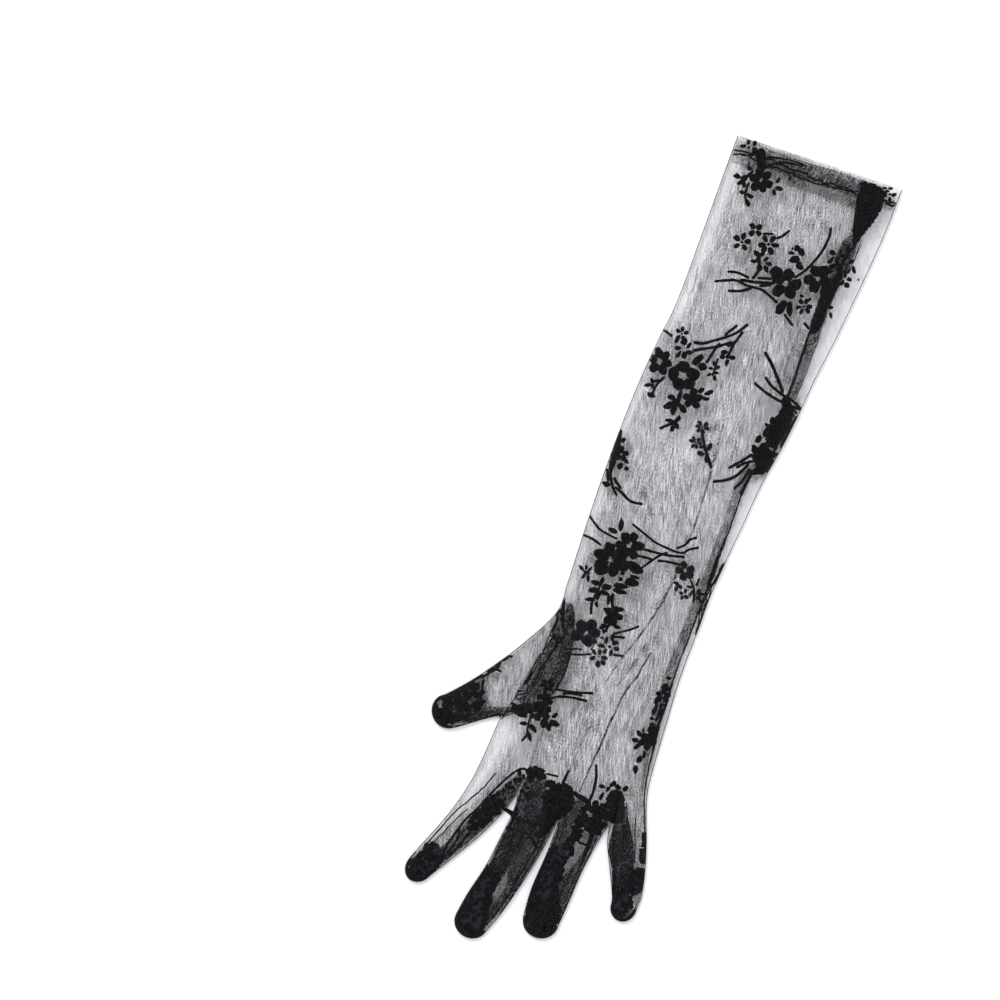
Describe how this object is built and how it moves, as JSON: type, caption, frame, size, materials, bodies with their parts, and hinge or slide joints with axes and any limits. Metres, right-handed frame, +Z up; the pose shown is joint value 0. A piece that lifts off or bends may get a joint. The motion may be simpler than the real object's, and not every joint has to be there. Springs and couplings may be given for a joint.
{
  "type": "lace glove",
  "caption": "Opera-length right-hand dress glove of sheer black tulle with flocked flower sprigs, laid flat with its palm up and its arm end open.",
  "frame": {"origin": "middle of the laid glove's bounding box, on the surface that it lies on", "axes": "+Y from the fingertips to the open arm end, +X towards the little finger's side, +Z up from the back of the glove to its palm"},
  "size_m": [0.1544, 0.475, 0.0125],
  "materials": {
    "tulle": "sheer black net with fine hexagonal holes and black flocked sprigs, matt",
    "hem_tulle": "the same black net lying in several layers and stitched, matt"
  },
  "bodies": {
    "root": {"glove_body": "tulle", "finger_index": "tulle", "finger_middle": "tulle", "finger_ring": "tulle", "finger_little": "tulle", "thumb": "tulle", "fourchette_index_middle": "tulle", "fourchette_middle_ring": "tulle", "fourchette_ring_little": "tulle", "top_hem": "hem_tulle", "side_seam": "hem_tulle"}
  },
  "joints": []
}
